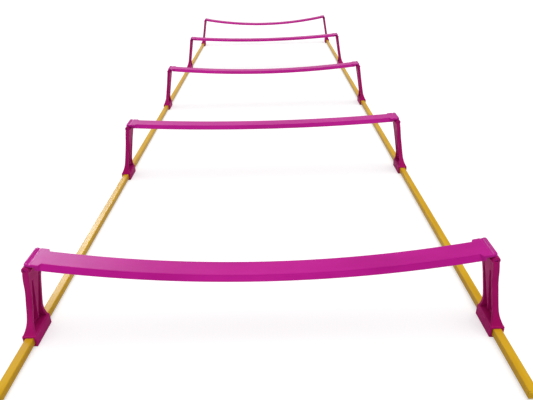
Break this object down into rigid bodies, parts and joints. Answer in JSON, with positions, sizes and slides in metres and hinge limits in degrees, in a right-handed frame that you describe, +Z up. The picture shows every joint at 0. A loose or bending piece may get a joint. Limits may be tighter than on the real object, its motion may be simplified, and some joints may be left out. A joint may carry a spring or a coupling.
{
  "type": "agility ladder",
  "caption": "Raised agility ladder for footwork drills: low, sagging hurdle bars on hinged legs whose foot sleeves slide along square side rails.",
  "frame": {"origin": "middle of the ladder's footprint, on the plane that its foot sleeves stand on", "axes": "+X to the right along a crossbar, +Y along the rails from the end with the longer rail tails to the end with the short ones, +Z up"},
  "size_m": [0.5382, 1.936, 0.1093],
  "materials": {
    "magenta_plastic": "satin moulded surface with a soft sheen",
    "yellow_plastic": "satin extruded surface with faint draw lines"
  },
  "bodies": {
    "rung_3": {"crossbar_3": "magenta_plastic", "left_hinge_pin_3": "magenta_plastic", "right_hinge_pin_3": "magenta_plastic"},
    "left_side": {"left_rail": "yellow_plastic", "left_leg_3": "magenta_plastic", "left_rail_near_plug": "yellow_plastic", "left_rail_far_plug": "yellow_plastic"},
    "right_side": {"right_rail": "yellow_plastic", "right_leg_3": "magenta_plastic", "right_rail_near_plug": "yellow_plastic", "right_rail_far_plug": "yellow_plastic"},
    "rung_1": {"crossbar_1": "magenta_plastic", "left_hinge_pin_1": "magenta_plastic", "right_hinge_pin_1": "magenta_plastic"},
    "rung_2": {"crossbar_2": "magenta_plastic", "left_hinge_pin_2": "magenta_plastic", "right_hinge_pin_2": "magenta_plastic"},
    "rung_4": {"crossbar_4": "magenta_plastic", "left_hinge_pin_4": "magenta_plastic", "right_hinge_pin_4": "magenta_plastic"},
    "rung_5": {"crossbar_5": "magenta_plastic", "left_hinge_pin_5": "magenta_plastic", "right_hinge_pin_5": "magenta_plastic"},
    "left_foot_1": {"left_leg_1": "magenta_plastic"},
    "left_foot_2": {"left_leg_2": "magenta_plastic"},
    "left_foot_4": {"left_leg_4": "magenta_plastic"},
    "left_foot_5": {"left_leg_5": "magenta_plastic"},
    "right_foot_1": {"right_leg_1": "magenta_plastic"},
    "right_foot_2": {"right_leg_2": "magenta_plastic"},
    "right_foot_4": {"right_leg_4": "magenta_plastic"},
    "right_foot_5": {"right_leg_5": "magenta_plastic"}
  },
  "joints": [
    {"name": "fold_left", "type": "hinge", "parent": "rung_3", "child": "left_side", "pos_m": [-0.2461, 0.043, 0.1005], "axis": [0, 1, 0], "range_deg": [0, 90]},
    {"name": "fold_right", "type": "hinge", "parent": "rung_3", "child": "right_side", "pos_m": [0.2461, 0.043, 0.1005], "axis": [0, -1, 0], "range_deg": [0, 90]},
    {"name": "rung_1_slide", "type": "slide", "parent": "rung_3", "child": "rung_1", "axis": [0, 1, 0], "range_m": [-0.085, 0.2]},
    {"name": "rung_2_slide", "type": "slide", "parent": "rung_3", "child": "rung_2", "axis": [0, 1, 0], "range_m": [-0.2, 0.4]},
    {"name": "rung_4_slide", "type": "slide", "parent": "rung_3", "child": "rung_4", "axis": [0, 1, 0], "range_m": [-0.4, 0.2]},
    {"name": "rung_5_slide", "type": "slide", "parent": "rung_3", "child": "rung_5", "axis": [0, 1, 0], "range_m": [-0.2, 0.003]},
    {"name": "left_foot_1_slide", "type": "slide", "parent": "left_side", "child": "left_foot_1", "axis": [0, 1, 0], "range_m": [-0.085, 0.2]},
    {"name": "left_foot_2_slide", "type": "slide", "parent": "left_side", "child": "left_foot_2", "axis": [0, 1, 0], "range_m": [-0.2, 0.4]},
    {"name": "left_foot_4_slide", "type": "slide", "parent": "left_side", "child": "left_foot_4", "axis": [0, 1, 0], "range_m": [-0.4, 0.2]},
    {"name": "left_foot_5_slide", "type": "slide", "parent": "left_side", "child": "left_foot_5", "axis": [0, 1, 0], "range_m": [-0.2, 0.003]},
    {"name": "right_foot_1_slide", "type": "slide", "parent": "right_side", "child": "right_foot_1", "axis": [0, 1, 0], "range_m": [-0.085, 0.2]},
    {"name": "right_foot_2_slide", "type": "slide", "parent": "right_side", "child": "right_foot_2", "axis": [0, 1, 0], "range_m": [-0.2, 0.4]},
    {"name": "right_foot_4_slide", "type": "slide", "parent": "right_side", "child": "right_foot_4", "axis": [0, 1, 0], "range_m": [-0.4, 0.2]},
    {"name": "right_foot_5_slide", "type": "slide", "parent": "right_side", "child": "right_foot_5", "axis": [0, 1, 0], "range_m": [-0.2, 0.003]}
  ],
  "couplings": [
    {"joint": "left_foot_1_slide", "follows": "rung_1_slide", "ratio": 1},
    {"joint": "right_foot_1_slide", "follows": "rung_1_slide", "ratio": 1},
    {"joint": "left_foot_2_slide", "follows": "rung_2_slide", "ratio": 1},
    {"joint": "right_foot_2_slide", "follows": "rung_2_slide", "ratio": 1},
    {"joint": "left_foot_4_slide", "follows": "rung_4_slide", "ratio": 1},
    {"joint": "right_foot_4_slide", "follows": "rung_4_slide", "ratio": 1},
    {"joint": "left_foot_5_slide", "follows": "rung_5_slide", "ratio": 1},
    {"joint": "right_foot_5_slide", "follows": "rung_5_slide", "ratio": 1}
  ]
}
